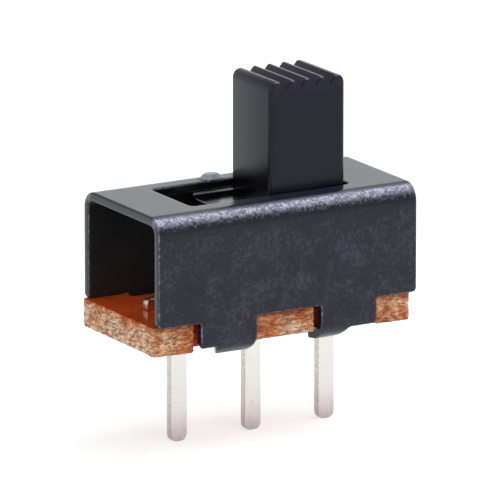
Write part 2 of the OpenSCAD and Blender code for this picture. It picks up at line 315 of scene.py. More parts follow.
frayed = add(tree, "ShaderNodeMath", {
    0: grain, 1: 0.55 * MM, 2: axes["Z"]}, operation="MULTIPLY_ADD")
past_end = add(tree, "ShaderNodeMath", {0: along, 1: SLOT_HALF_LENGTH}, operation="SUBTRACT")
past_side = add(tree, "ShaderNodeMath", {0: across, 1: SLOT_HALF_WIDTH}, operation="SUBTRACT")
from_slot = add(tree, "ShaderNodeMath", {0: past_end, 1: past_side}, operation="MAXIMUM")
# Zones of the case: what is measured, the two ends of the zone's edge in
# millimetres, and the zone's share at each end.
# Of these zones, the bend's band and the folds' feet take a painted highlight, the slot's rim a
# painted glint and the domes a painted highlight; the wall just below the bend and the slot's cut
# faces take painted shade.
past_flat, above_wall, outside, at_fold, low_rim, in_slot, at_slot, above_board, painted_shade_below_bend, on_dome = (
    add(tree, "ShaderNodeMapRange", {
        "Value": value, "From Min": low * MM, "From Max": high * MM,
        "To Min": first, "To Max": last})
    for value, low, high, first, last in (
        (across, 2.57, 2.76, 0.0, 1.0), (frayed, 6.16, 6.62, 0.0, 1.0),
        (across, 2.81, 2.83, 0.0, 1.0), (axes["Z"], 0.2, 0.45, 0.38, 0.0),
        (axes["Z"], 5.95, 6.2, 1.0, 0.0), (from_slot, 0.005, 0.03, 1.0, 0.0),
        (from_slot, 0.06, 0.13, 0.5, 0.0), (axes["Z"], 1.3, 1.5, 0.0, 0.9),
        (axes["Z"], 5.2, 5.75, 0.0, 0.85), (axes["Z"], 6.415, 6.45, 0.0, 0.85)))
# A speckled painted highlight of pale metal round the bend and low on the folds.
at_bend = add(tree, "ShaderNodeMath", {0: past_flat, 1: above_wall}, operation="MULTIPLY")
at_fold, low_rim = (
    add(tree, "ShaderNodeMath", {0: zone, 1: outside}, operation="MULTIPLY")
    for zone in (at_fold, low_rim))
painted_highlight_band = add(tree, "ShaderNodeMath", {0: at_bend, 1: at_fold}, operation="MAXIMUM")
highlight_speckle = add(tree, "ShaderNodeMapRange", {
    "Value": grain, "From Min": 0.36, "From Max": 0.64, "To Min": 0.5, "To Max": 0.88})
painted_glint_and_chips = add(tree, "ShaderNodeMath", {0: painted_highlight_band, 1: highlight_speckle}, operation="MULTIPLY")

mixed = add(tree, "ShaderNodeMath", {0: grain, 1: 0.5}, operation="MULTIPLY")
mixed = add(tree, "ShaderNodeMath", {0: patch, 1: 0.5, 2: mixed}, operation="MULTIPLY_ADD")
# Chips of bare metal along the walls' cut edges below the bend, and a painted glint along the
# slot's rim, both speckled by the mottling.
chips = add(tree, "ShaderNodeMapRange", {
    "Value": mixed, "From Min": 0.44, "From Max": 0.6, "To Min": 0.1, "To Max": 0.66})
chips_and_painted_slot_glint = add(tree, "ShaderNodeMath", {0: low_rim, 1: at_slot}, operation="MAXIMUM")
for share in (rim, chips):
    chips_and_painted_slot_glint = add(tree, "ShaderNodeMath", {0: chips_and_painted_slot_glint, 1: share}, operation="MULTIPLY")
painted_glint_and_chips = add(tree, "ShaderNodeMath", {0: painted_glint_and_chips, 1: chips_and_painted_slot_glint}, operation="MAXIMUM")

# Faces turned up: a higher gloss, and a lighter, bluer colour that is a painted sheen.
facing_up = add(tree, "ShaderNodeMapRange", {
    "Value": upward, "From Min": 0.9, "From Max": 0.995, "To Max": 0.9})
flowed = add(tree, "ShaderNodeMapRange", {
    "Value": facing_up, "From Max": 0.9, "To Min": 1.4, "To Max": 1.58})
under_top = add(tree, "ShaderNodeMapRange", {
    "Value": upward, "From Min": 0.3, "From Max": 0.5, "To Min": 1.0, "To Max": 0.0})
off_rim, inner = (
    add(tree, "ShaderNodeMath", {0: 1.0, 1: zone}, operation="SUBTRACT")
    for zone in (rim, outside))
for share in (under_top, above_board, off_rim):
    inner = add(tree, "ShaderNodeMath", {0: inner, 1: share}, operation="MULTIPLY")
shown = add(tree, "ShaderNodeValToRGB", {"Fac": mixed}, stops=[
    (0.36, "#100f15"), (0.5, "#1e1d24"), (0.64, "#393843")])
# Layers over the mottled tone: painted shade below the bend, a painted sheen on faces turned up, a
# painted highlight on the domes, the plain inside, painted shade on the slot's cut faces, and last
# the painted highlight with the chips.
for share, code in (
        (painted_shade_below_bend, "#050508"), (facing_up, "#222432"), (on_dome, "#a2a2b0"),
        (inner, "#2b2b2c"), (in_slot, "#111114"), (painted_glint_and_chips, "#9a9cae")):
    shown = add(tree, "ShaderNodeMix", {
        "Factor": share, "A": shown, "B": hex_colour(code)}, data_type="RGBA")
gloss = add(tree, "ShaderNodeMapRange", {
    "Value": patch, "From Min": 0.3, "From Max": 0.7, "To Min": 0.14, "To Max": 0.2})
dulled = add(tree, "ShaderNodeMath", {0: painted_highlight_band, 1: 0.14, 2: gloss}, operation="MULTIPLY_ADD")
orange_peel = add(tree, "ShaderNodeBump", {
    "Height": grain, "Strength": 0.35, "Distance": 0.008 * MM})
coat = add(tree, "ShaderNodeBsdfPrincipled", {
    "Base Color": shown, "Metallic": painted_glint_and_chips, "Roughness": dulled, "IOR": flowed,
    "Specular Tint": hex_colour("#ecedff"), "Normal": orange_peel})
add(tree, "ShaderNodeOutputMaterial", {"Surface": coat})

board_low, board_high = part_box("terminal_board")
case_top = board_high.z + CASE_HEIGHT
bend_line = CASE_HALF_WIDTH - CASE_BEND
bend_middle = CASE_BEND - SHEET / 2
wall_line = bend_line + bend_middle * math.pi / 2 + CASE_HEIGHT - CASE_BEND
fold_line = wall_line + board_high.z - FOLD_LINE_HEIGHT

# One wall's edge of the blank: x, distance past the fold line, corner radius.
TAB_EDGE = [
    (-4.275, None, 0.1), (-4.275, 0.36, 0.16), (-3.455, 0.36, 0.08), (-3.43, 0.5, 0.06),
    (-3.2, 1.0, 0.2), (-2.95, 1.45, 0.12), (-1.82, 1.45, 0.12), (-1.76, 1.0, 0.2),
    (-1.525, 0.4, 0.2), (-1.525, None, 0.1),
    (1.625, None, 0.1), (1.625, 1.45, 0.12), (2.48, 1.45, 0.12), (2.6, 0.95, 0.1),
    (3.1, 0.36, 0.12), (4.375, 0.36, 0.12), (4.375, None, 0.1),
]
front_edge = [(-CASE_HALF_LENGTH, -wall_line, CASE_FOOT_CORNER)]
for x, past, radius in TAB_EDGE:
    reach = wall_line if past is None else fold_line + past * MM
    front_edge.append((x * MM, -reach, radius * MM))
front_edge.append((CASE_HALF_LENGTH, -wall_line, CASE_FOOT_CORNER))
rear_edge = [(-x, -y, radius) for x, y, radius in front_edge]
blank_outline = rounded_path(front_edge + rear_edge, BLANK_STEP)
slot_outline = rounded_path([
    (x * SLOT_HALF_LENGTH, y * SLOT_HALF_WIDTH, SLOT_CORNER)
    for x, y in ((-1, -1), (-1, 1), (1, 1), (1, -1))], SLOT_STEP)


def dome_reach(point, centre):
    """How far out in a dome a point lies: 0 at its middle and 1 at its foot."""
    return math.hypot(
        (point.x - centre[0]) / DOME_HALF_LENGTH, (point.y - centre[1]) / DOME_HALF_WIDTH)


# The blank is filled with a square grid, and each dome with rings of its own.
half_length, half_width = CASE_HALF_LENGTH - FILL_INSET, fold_line + TAB_FILL
filling = [
    p for p in grid_inside((-half_length, -half_width), (half_length, half_width), CASE_FILL_STEP)
    if all(dome_reach(p, centre) > DOME_CLEARANCE for centre in DOME_CENTRES)]
for centre in DOME_CENTRES:
    for ring in range(DOME_RINGS + 1):
        count = max(1, 6 * ring)
        filling += [
            Vector(centre) + ring / DOME_RINGS * Vector((
                math.cos(a) * DOME_HALF_LENGTH, math.sin(a) * DOME_HALF_WIDTH))
            for a in (2 * math.pi * k / count for k in range(count))]

bm = cut_slab([blank_outline, slot_outline], SHEET, CASE_EDGE, filling)
for vert in bm.verts:
    for centre in DOME_CENTRES:
        reach = dome_reach(vert.co, centre)
        rise = DOME_HEIGHT
        if vert.co.z < 0:
            reach, rise = reach / POCKET_SHARE, POCKET_DEPTH
        if reach < 1:
            down = max(0.0, reach - DOME_CROWN) / (1 - DOME_CROWN)
            vert.co.z += rise * (0.5 + 0.5 * math.cos(math.pi * down))
case = place_mesh(bm, "folded_case")

# Bend: turns whatever lies past a line, on both sides, down about that line. It
# is worked out in steps: the result's name, the operation, and what goes in.
bend, given = start_geometry(
    "bend_both_sides", ("Position", "NodeSocketVector"), ("Line", "Radius", "Angle"))
axes = add(bend, "ShaderNodeSeparateXYZ", {"Vector": given["Position"]}).outputs
worked = {socket.name: socket for socket in (*given, *axes)}
for result, operation, *parts in (
        ("side", "SIGN", "Y"), ("reach", "ABSOLUTE", "Y"),
        ("past", "SUBTRACT", "reach", "Line"), ("past", "MAXIMUM", "past", 0.0),
        ("curved", "MULTIPLY", "Radius", "Angle"), ("turn", "MINIMUM", "past", "curved"),
        ("turn", "DIVIDE", "turn", "Radius"), ("beyond", "SUBTRACT", "past", "curved"),
        ("beyond", "MAXIMUM", "beyond", 0.0), ("lever", "ADD", "Radius", "Z"),
        ("sine", "SINE", "turn"), ("cosine", "COSINE", "turn"),
        ("out_y", "MINIMUM", "reach", "Line"),
        ("out_y", "MULTIPLY_ADD", "lever", "sine", "out_y"),
        ("out_y", "MULTIPLY_ADD", "beyond", "cosine", "out_y"),
        ("out_y", "MULTIPLY", "out_y", "side"), ("out_z", "MULTIPLY", "lever", "cosine"),
        ("out_z", "SUBTRACT", "out_z", "Radius"), ("drop", "MULTIPLY", "beyond", "sine"),
        ("out_z", "SUBTRACT", "out_z", "drop")):
    worked[result] = add(bend, "ShaderNodeMath", {
        i: worked.get(part, part) for i, part in enumerate(parts)}, operation=operation)
bent = add(bend, "ShaderNodeCombineXYZ", {
    "X": axes["X"], "Y": worked["out_y"], "Z": worked["out_z"]})
add(bend, "NodeGroupOutput", {"Position": bent})

fold, given = start_geometry("fold_blank", ("Geometry", "NodeSocketGeometry"), (
    "Bend Line", "Bend Radius", "Fold Line", "Fold Radius", "Fold Angle", "Height"))
tabs_turned = add(fold, "GeometryNodeGroup", {
    "Position": add(fold, "GeometryNodeInputPosition"), "Line": given["Fold Line"],
    "Radius": given["Fold Radius"], "Angle": given["Fold Angle"]}, node_tree=bend)
walls_turned = add(fold, "GeometryNodeGroup", {
    "Position": tabs_turned, "Line": given["Bend Line"],
    "Radius": given["Bend Radius"], "Angle": math.pi / 2}, node_tree=bend)
lift = add(fold, "ShaderNodeCombineXYZ", {"Z": given["Height"]})
raised = add(fold, "ShaderNodeVectorMath", {0: walls_turned, 1: lift}, operation="ADD")
moved = add(fold, "GeometryNodeSetPosition", {"Geometry": given["Geometry"], "Position": raised})
real = add(fold, "GeometryNodeRealizeInstances", {"Geometry": moved})
painted = add(fold, "GeometryNodeSetMaterial", {"Geometry": real, "Material": case_paint})
add(fold, "NodeGroupOutput", {"Geometry": painted})
run_geometry(case, fold, {
    "Bend Line": bend_line, "Bend Radius": bend_middle,
    "Fold Line": fold_line, "Fold Radius": TAB_FOLD - SHEET / 2,
    "Fold Angle": TAB_FOLD_ANGLE, "Height": case_top - SHEET / 2})
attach(case, "base")
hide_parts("case")


# ---------------------------------------------------------------------------
# Terminal board: a plate of brown paper-phenolic laminate, punched out cold.
# Its faces are glossy resin. The punch leaves a smooth orange band at the top
# of each cut edge and tears the paper layers below it into a pale, pitted one.
# ---------------------------------------------------------------------------

BOARD_MIDDLE = (-0.12 * MM, 0.13 * MM)
BOARD_HALF = (6.35 * MM, 3.05 * MM)
BOARD_CORNER = 0.25 * MM
NOTCH_CENTRE = 2.95 * MM
NOTCH_HALF = 1.505 * MM
NOTCH_FLOOR = 2.3 * MM
NOTCH_CORNER = 0.12 * MM
EDGE_LEVELS = 16
BOARD_STEP = 0.07 * MM
UNDERSIDE_STEP, UNDERSIDE_CLEARANCE = 0.4 * MM, 0.12 * MM
# The tear's depth, and the shares of it that an even tear, lumps, flakes and
# cracks reach in. Above this level of the edge it fades out, to its sheared share.
TEAR_DEPTH = 0.05 * MM
EVEN, LUMPS, FLAKES, CRACKS = 0.1, 0.8, 0.9, 4.0
LUMP_SIZE, FLAKE_SIZE, CRACK_SIZE = 0.7 * MM, 0.16 * MM, 0.9 * MM
CRACK_LIMIT = 0.18
FLAKE_SQUASH, CRACK_SQUASH = 1.6, 6
FLAKE_SHIFT = Vector((7, 3, 5))
TEAR_TOP, TEAR_FADE, SHEARED = 0.9, 0.25, 0.15
FACE_EDGE = 0.03 * MM
FOOT_WAVE, FOOT_WAVE_LENGTH = 0.02 * MM, 0.6 * MM
FRONT_STRIP = 0.4 * MM
# How far the torn lower edge stands off the plate's underside along the front:
# x, height.
FRONT_TEAR = [
    (-6.5, -0.04), (-4.6, -0.08), (-4.3, -0.03), (-1.5, 0.0), (-1.35, 0.08), (1.4, 0.06),
    (1.55, 0.0), (4.45, -0.02), (6.3, -0.05),
]

left, right = BOARD_MIDDLE[0] - BOARD_HALF[0], BOARD_MIDDLE[0] + BOARD_HALF[0]
front, rear = BOARD_MIDDLE[1] - BOARD_HALF[1], BOARD_MIDDLE[1] + BOARD_HALF[1]
board_corners = []
for side, end_a, end_b, edge in ((-1, left, right, front), (1, right, left, rear)):
    board_corners.append((end_a, edge, BOARD_CORNER))
    for centre in (side * NOTCH_CENTRE, -side * NOTCH_CENTRE):
        near, far = centre + side * NOTCH_HALF, centre - side * NOTCH_HALF
        board_corners += [
            (near, edge, NOTCH_CORNER), (near, side * NOTCH_FLOOR, NOTCH_CORNER),
            (far, side * NOTCH_FLOOR, NOTCH_CORNER), (far, edge, NOTCH_CORNER)]
    board_corners.append((end_b, edge, BOARD_CORNER))
path = rounded_path(board_corners, BOARD_STEP)


def torn_foot(point):
    """Height of the torn lower edge at a point of the outline."""
    if point.y > front + FRONT_STRIP:
        return FOOT_WAVE * noise.noise(Vector((point.x, point.y, 0)) / FOOT_WAVE_LENGTH)
    for (x_a, z_a), (x_b, z_b) in zip(FRONT_TEAR, FRONT_TEAR[1:]):
        if point.x <= x_b * MM:
            return (z_a + (z_b - z_a) * (point.x / MM - x_a) / (x_b - x_a)) * MM
    return FRONT_TEAR[-1][1] * MM


bm = bmesh.new()
rings = []
for k in range(EDGE_LEVELS + 1):
    level = k / EDGE_LEVELS
    torn = min(1.0, max(SHEARED, (TEAR_TOP - level) / TEAR_FADE))
    ring = []
    for point, away in zip(path, away_from(path)):
        foot = board_low.z + torn_foot(point)
        height = foot + (board_high.z - foot) * level
        spot = Vector((point.x, point.y, height * FLAKE_SQUASH))
        layer = Vector((point.x, point.y, height * CRACK_SQUASH))
        lump = noise.noise(spot / LUMP_SIZE)
        flake = noise.noise(spot / FLAKE_SIZE + FLAKE_SHIFT)
        crack = abs(away.y) * max(0.0, noise.noise(layer / CRACK_SIZE) - CRACK_LIMIT)
        inwards = TEAR_DEPTH * torn * max(
            0.0, EVEN + LUMPS * lump + FLAKES * flake + CRACKS * crack)
        if k in (0, EDGE_LEVELS):
            inwards += FACE_EDGE
        ring.append(bm.verts.new((
            point.x - away.x * inwards, point.y - away.y * inwards, height)))
    rings.append(ring)
for low, high in zip(rings, rings[1:]):
    for i in range(len(path)):
        cut = bm.faces.new((low[i - 1], low[i], high[i], high[i - 1]))
        cut.material_index = 1
        cut.smooth = True
bm.faces.new(rings[-1])
# The underside is flat but for a narrow strip along its torn rim.
points, on_rim, triangles = fill_loops(
    [[v.co.xy for v in rings[0]]],
    grid_inside((left, front), (right, rear), UNDERSIDE_STEP), UNDERSIDE_CLEARANCE)
underside = [
    bm.verts.new((p.x, p.y, board_low.z)) if number is None else rings[0][number]
    for p, number in zip(points, on_rim)]
for triangle in triangles:
    bm.faces.new([underside[i] for i in triangle[::-1]])
drop_loose(bm)
board = place_mesh(bm, "phenolic_board")

# Phenolic resin face: cast against polished plates, so it has a lacquer gloss
# over a red-brown that is a little uneven where the paper shows through.
board_face, tree = start_material("phenolic_face")
place = add(tree, "ShaderNodeTexCoord").outputs["Object"]
cloud = add(tree, "ShaderNodeTexNoise", {
    "Vector": place, "Scale": 1 / (1.6 * MM), "Detail": 4.0, "Roughness": 0.6})
fibre = add(tree, "ShaderNodeTexNoise", {
    "Vector": place, "Scale": 1 / (0.18 * MM), "Detail": 3.0, "Roughness": 0.6})
mixed = add(tree, "ShaderNodeMath", {0: fibre, 1: 0.5}, operation="MULTIPLY")
mixed = add(tree, "ShaderNodeMath", {0: cloud, 1: 0.5, 2: mixed}, operation="MULTIPLY_ADD")
tone = add(tree, "ShaderNodeValToRGB", {"Fac": mixed}, stops=[
    (0.35, "#c4441a"), (0.5, "#d8521c"), (0.65, "#e66428")])
ripple = add(tree, "ShaderNodeBump", {
    "Height": fibre, "Strength": 0.2, "Distance": 0.006 * MM})
skin = add(tree, "ShaderNodeBsdfPrincipled", {
    "Base Color": tone, "Roughness": 0.14, "IOR": 1.55, "Normal": ripple})
add(tree, "ShaderNodeOutputMaterial", {"Surface": skin})

# Phenolic cut edge: torn kraft paper, pale and matt, layered like thin card,
# dark brown in its pits and cracks and between its flakes. The ends tear paler
# and flakier than the long sides, and the notch walls stay smooth and red. Its
# fibres and flakes are drawn coarser than real ones, which are too fine to show.
board_edge, tree = start_material("phenolic_cut_edge")
place = add(tree, "ShaderNodeTexCoord").outputs["Object"]
layers = add(tree, "ShaderNodeMapping", {"Vector": place, "Scale": (0.5, 0.5, 1.2)})
sheets = add(tree, "ShaderNodeMapping", {"Vector": place, "Scale": (0.3, 0.3, 2.0)})
fibres, blotch, pits, split = (
    add(tree, "ShaderNodeTexNoise", {
        "Vector": spot, "Scale": 1 / size, "Detail": detail, "Roughness": roughness})
    for spot, size, detail, roughness in (
        (layers, 0.16 * MM, 5.0, 0.65), (place, 0.8 * MM, 3.0, 0.6),
        (layers, 0.11 * MM, 2.0, 0.5), (sheets, 0.35 * MM, 3.0, 0.6)))
axes = add(tree, "ShaderNodeSeparateXYZ", {"Vector": place}).outputs
facing = add(tree, "ShaderNodeSeparateXYZ", {
    "Vector": add(tree, "ShaderNodeNewGeometry").outputs["Normal"]}).outputs
endwards, sidewards, along, across = (
    add(tree, "ShaderNodeMath", {0: part}, operation="ABSOLUTE")
    for part in (facing["X"], facing["Y"], axes["X"], axes["Y"]))
band = add(tree, "ShaderNodeMapRange", {
    "Value": axes["Z"], "From Min": 1.3 * MM, "From Max": 1.66 * MM, "To Max": -0.13})
mixed = band
for part, share in ((endwards, 0.07), (blotch, 0.7), (fibres, 0.3)):
    mixed = add(tree, "ShaderNodeMath", {0: part, 1: share, 2: mixed}, operation="MULTIPLY_ADD")
tone = add(tree, "ShaderNodeValToRGB", {"Fac": mixed}, stops=[
    (0.33, "#b03e10"), (0.43, "#d87438"), (0.53, "#eeab78"), (0.66, "#fbe2c6")])
pitted = add(tree, "ShaderNodeMapRange", {
    "Value": pits, "From Min": 0.34, "From Max": 0.46, "To Min": 0.85, "To Max": 0.0})
wander = add(tree, "ShaderNodeTexNoise", {
    "Vector": layers, "Scale": 1 / (0.2 * MM), "Detail": 2.0}).outputs["Color"]
wander = add(tree, "ShaderNodeVectorMath", {0: wander, "Scale": 0.12 * MM}, operation="SCALE")
wander = add(tree, "ShaderNodeVectorMath", {0: layers, 1: wander}, operation="ADD")
flake = add(tree, "ShaderNodeTexVoronoi", {
    "Vector": wander, "Scale": 1 / (0.24 * MM)}, feature="DISTANCE_TO_EDGE")
between = add(tree, "ShaderNodeMapRange", {
    "Value": flake, "From Min": 0.02, "From Max": 0.14, "To Min": 0.85, "To Max": 0.0})
broken = add(tree, "ShaderNodeMapRange", {
    "Value": fibres, "From Min": 0.42, "From Max": 0.56, "To Min": 1.0, "To Max": 0.25})
smeared = add(tree, "ShaderNodeMapRange", {"Value": sidewards, "To Min": 1.0, "To Max": 0.45})
for share in (broken, smeared):
    between = add(tree, "ShaderNodeMath", {0: between, 1: share}, operation="MULTIPLY")
pitted = add(tree, "ShaderNodeMath", {0: pitted, 1: between}, operation="MAXIMUM")
split = add(tree, "ShaderNodeMath", {0: split, 1: 0.5}, operation="SUBTRACT")
split = add(tree, "ShaderNodeMath", {0: split}, operation="ABSOLUTE")
cracked = add(tree, "ShaderNodeMapRange", {
    "Value": split, "From Min": 0.006, "From Max": 0.045, "To Min": 0.75, "To Max": 0.0})
cracked = add(tree, "ShaderNodeMath", {0: cracked, 1: sidewards}, operation="MULTIPLY")
dark = add(tree, "ShaderNodeMath", {0: pitted, 1: cracked}, operation="MAXIMUM")
inner, deep = (
    add(tree, "ShaderNodeMapRange", {
        "Value": value, "From Min": low * MM, "From Max": high * MM,
        "To Min": 1.0, "To Max": 0.0})
    for value, low, high in ((along, 4.46, 4.52), (across, 2.5, 2.7)))
walls = add(tree, "ShaderNodeMapRange", {"Value": endwards, "From Min": 0.5, "From Max": 0.8})
walls = add(tree, "ShaderNodeMath", {0: walls, 1: deep}, operation="MAXIMUM")
walls = add(tree, "ShaderNodeMath", {0: walls, 1: inner}, operation="MULTIPLY")
for share, code in ((dark, "#6a2a0e"), (walls, "#e03408")):
    tone = add(tree, "ShaderNodeMix", {
        "Factor": share, "A": tone, "B": hex_colour(code)}, data_type="RGBA")
torn_height = add(tree, "ShaderNodeMath", {0: fibres, 1: pits}, operation="ADD")
torn_height = add(tree, "ShaderNodeMath", {0: torn_height, 1: dark}, operation="SUBTRACT")
torn_bump = add(tree, "ShaderNodeBump", {
    "Height": torn_height, "Strength": 0.7, "Distance": 0.04 * MM})
paper = add(tree, "ShaderNodeBsdfPrincipled", {
    "Base Color": tone, "Roughness": 0.6, "IOR": 1.5, "Normal": torn_bump})
add(tree, "ShaderNodeOutputMaterial", {"Surface": paper})

board.data.materials.append(board_face)
board.data.materials.append(board_edge)
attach(board, "base")
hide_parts("terminal_board")


# ---------------------------------------------------------------------------
# Terminals: three brass stampings, tin-plated after blanking. Each is pushed
# up through its slot in the board, with its contact rail on top and its pin
# below. The cut edges are soft from barrel plating.
# ---------------------------------------------------------------------------

PIN_HALF_WIDTH = 0.39 * MM
PIN_THICKNESS = 0.38 * MM
RAIL_HALF_LENGTH = 1.55 * MM
RAIL_CORNER = 0.25 * MM
PIN_EDGE = 0.03 * MM
PIN_TIP_CORNER = 0.34 * MM
PIN_ROOT_CORNER = 0.08 * MM
RAIL_FOOT_CORNER = 0.1 * MM
PIN_STEP = 0.1 * MM

# Tin plate: bright but not mirror-flat, a little yellow where it is thin below
# the board and pinkish at the dipped ends. The blanked edges under it are
# rough, so they look duller and speckled.
tin, tree = start_material("tin_plate")
place = add(tree, "ShaderNodeTexCoord").outputs["Object"]
drawn = add(tree, "ShaderNodeMapping", {"Vector": place, "Scale": (1.0, 1.0, 0.3)})
streak = add(tree, "ShaderNodeTexNoise", {
    "Vector": drawn, "Scale": 1 / (0.25 * MM), "Detail": 4.0, "Roughness": 0.6})
grain = add(tree, "ShaderNodeTexNoise", {
    "Vector": place, "Scale": 1 / (0.1 * MM), "Detail": 3.0, "Roughness": 0.6})
height = add(tree, "ShaderNodeSeparateXYZ", {"Vector": place}).outputs["Z"]
along_pin = add(tree, "ShaderNodeMapRange", {
    "Value": height, "From Min": -4.3 * MM, "From Max": 0.45 * MM, "To Max": 0.8})
wavy = add(tree, "ShaderNodeMath", {0: streak, 1: 0.24, 2: along_pin}, operation="MULTIPLY_ADD")
tone = add(tree, "ShaderNodeValToRGB", {"Fac": wavy}, stops=[
    (0.1, "#baa8a8"), (0.24, "#d0c5c5"), (0.36, "#dad6d2"), (0.78, "#dfdcd6"),
    (0.92, "#dfcfba")])
sideways = add(tree, "ShaderNodeSeparateXYZ", {
    "Vector": add(tree, "ShaderNodeNewGeometry").outputs["Normal"]}).outputs["X"]
sideways = add(tree, "ShaderNodeMath", {0: sideways}, operation="ABSOLUTE")
blanked = add(tree, "ShaderNodeMapRange", {
    "Value": sideways, "From Min": 0.5, "From Max": 0.85, "To Max": 0.6})
rim = add(tree, "ShaderNodeAttribute", attribute_name="cut_edge").outputs["Fac"]
rim = add(tree, "ShaderNodeMath", {0: rim, 1: 0.5}, operation="MULTIPLY")
rough_edge = add(tree, "ShaderNodeMath", {0: blanked, 1: rim}, operation="MAXIMUM")
speck = add(tree, "ShaderNodeMapRange", {
    "Value": grain, "From Min": 0.4, "From Max": 0.6, "To Min": 1.0, "To Max": 0.45})
rough_edge = add(tree, "ShaderNodeMath", {0: rough_edge, 1: speck}, operation="MULTIPLY")
shown = add(tree, "ShaderNodeMix", {
    "Factor": rough_edge, "A": tone, "B": hex_colour("#9c8880")}, data_type="RGBA")
dull = add(tree, "ShaderNodeMapRange", {
    "Value": streak, "From Min": 0.3, "From Max": 0.7, "To Min": 0.2, "To Max": 0.36})
dimple = add(tree, "ShaderNodeBump", {
    "Height": grain, "Strength": 0.5, "Distance": 0.012 * MM})
plate = add(tree, "ShaderNodeBsdfPrincipled", {
    "Base Color": shown, "Metallic": 1.0, "Roughness": dull, "Normal": dimple})
add(tree, "ShaderNodeOutputMaterial", {"Surface": plate})

for side in ("left", "centre", "right"):
    low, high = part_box("terminal_" + side)
    middle = (low.x + high.x) / 2
    right_half = [
        (PIN_HALF_WIDTH, low.z, PIN_TIP_CORNER),
        (PIN_HALF_WIDTH, board_high.z, PIN_ROOT_CORNER),
        (RAIL_HALF_LENGTH, board_high.z, RAIL_FOOT_CORNER),
        (RAIL_HALF_LENGTH, high.z, RAIL_CORNER)]
    left_half = [(-x, z, radius) for x, z, radius in reversed(right_half)]
    stamping = rounded_path(
        [(middle + x, z, radius) for x, z, radius in right_half + left_half], PIN_STEP)
    bm = cut_slab([stamping], PIN_THICKNESS, PIN_EDGE)
    for vert in bm.verts:
        vert.co = (vert.co.x, -vert.co.z, vert.co.y)
    terminal = place_mesh(bm, "tinned_terminal_" + side)
    terminal.data.materials.append(tin)
    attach(terminal, "base")
    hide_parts("terminal_" + side)


# ---------------------------------------------------------------------------
# Slider: one moulding of black nylon, with the ridged knob on a carriage plate
# that slides under the case. The mould's corners are rounded, and its spark-
# eroded steel leaves a satin skin.
# ---------------------------------------------------------------------------

KNOB_MIDDLE = 1.85 * MM
KNOB_HALF_LENGTH = 1.86 * MM
KNOB_WIDTH = 3.28 * MM
KNOB_TOP_CORNER = 0.5 * MM
KNOB_UPRIGHT_EDGE = 0.2 * MM
KNOB_TOP_EDGE = 0.11 * MM
RIDGES = 5
RIDGE_PITCH = 0.72 * MM
RIDGE_DEPTH = 0.36 * MM
RIDGE_LAND = 0.12 * MM
CREST_ROUNDING = 0.1 * MM
KNOB_ROOT = 0.3 * MM
KNOB_ROOT_CORNER = 0.02 * MM
KNOB_STEP = 0.03 * MM
RUNNING_GAP = 0.04 * MM
CARRIAGE_CUT = 0.01 * MM
MERGE_WITHIN, FLAT_WITHIN = 0.0001 * MM, math.radians(0.5)
REFLECTION_PATCH_MIDDLE = (-1.42 * MM, -0.1 * MM)

slider_low, slider_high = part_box("slider")
carriage_top = case_top - SHEET - RUNNING_GAP

# Moulded nylon: black with a soft satin shine and a faint unevenness where it
# flowed. The ridges are tinted purple, a painted reflection, and their crests and
# front ends carry pale painted highlights. The carriage's top is polished by the
# case; pale painted highlights lie along two lines on it, brightening towards the
# knob, and on its left end, and a pale mottled patch on it is a painted reflection.
nylon, tree = start_material("moulded_nylon")
place = add(tree, "ShaderNodeTexCoord").outputs["Object"]
flow = add(tree, "ShaderNodeTexNoise", {
    "Vector": place, "Scale": 1 / (1.2 * MM), "Detail": 3.0, "Roughness": 0.5})
spark = add(tree, "ShaderNodeTexNoise", {
    "Vector": place, "Scale": 1 / (0.08 * MM), "Detail": 3.0, "Roughness": 0.6})
tone = add(tree, "ShaderNodeValToRGB", {"Fac": flow}, stops=[(0.3, "#050507"), (0.7, "#0a0a0d")])
axes = add(tree, "ShaderNodeSeparateXYZ", {"Vector": place}).outputs
across = add(tree, "ShaderNodeMath", {0: axes["Y"]}, operation="ABSOLUTE")
level = add(tree, "ShaderNodeMath", {0: axes["Z"], 1: carriage_top}, operation="SUBTRACT")
level = add(tree, "ShaderNodeMath", {0: level}, operation="ABSOLUTE")
from_tip = add(tree, "ShaderNodeMath", {0: axes["X"], 1: slider_low.x}, operation="SUBTRACT")
from_crest = add(tree, "ShaderNodeMath", {0: slider_high.z, 1: axes["Z"]}, operation="SUBTRACT")
from_patch_middle = add(tree, "ShaderNodeVectorMath", {
    0: place, 1: (*REFLECTION_PATCH_MIDDLE, carriage_top)}, operation="SUBTRACT")
from_patch_middle = add(tree, "ShaderNodeVectorMath", {
    0: from_patch_middle, 1: (1.0, 1.5, 1.0)}, operation="MULTIPLY")
from_patch_middle = add(tree, "ShaderNodeVectorMath", {
    0: from_patch_middle}, operation="LENGTH").outputs["Value"]
# Zones of the moulding, given as those of the case are.
# Of these zones, the two lines, the carriage's tip, the crests and their front ends take pale
# painted highlights, the patch a painted reflection, and the ridges a purple painted reflection.
(on_plate, line_start, line_end, highlight_rise_to_knob, tip, painted_reflection_patch, crest, near_crest, crest_end, ridged) = (
    add(tree, "ShaderNodeMapRange", {
        "Value": value, "From Min": low * MM, "From Max": high * MM,
        "To Min": first, "To Max": last})
    for value, low, high, first, last in (
        (level, 0.015, 0.03, 1.0, 0.0), (across, 1.42, 1.56, 0.0, 1.0),
        (across, 1.84, 1.92, 1.0, 0.0), (axes["X"], -0.9, -0.1, 0.42, 1.0),
        (from_tip, 0.04, 0.1, 0.3, 0.0), (from_patch_middle, 0.05, 0.75, 0.34, 0.0),
        (from_crest, 0.006, 0.02, 0.28, 0.0), (from_crest, 0.02, 0.08, 1.0, 0.0),
        (axes["Y"], -1.6, -1.5, 0.3, 0.0), (from_crest, 0.3, 0.8, 1.0, 0.0)))
line = line_start
for share in (line_end, highlight_rise_to_knob):
    line = add(tree, "ShaderNodeMath", {0: line, 1: share}, operation="MULTIPLY")
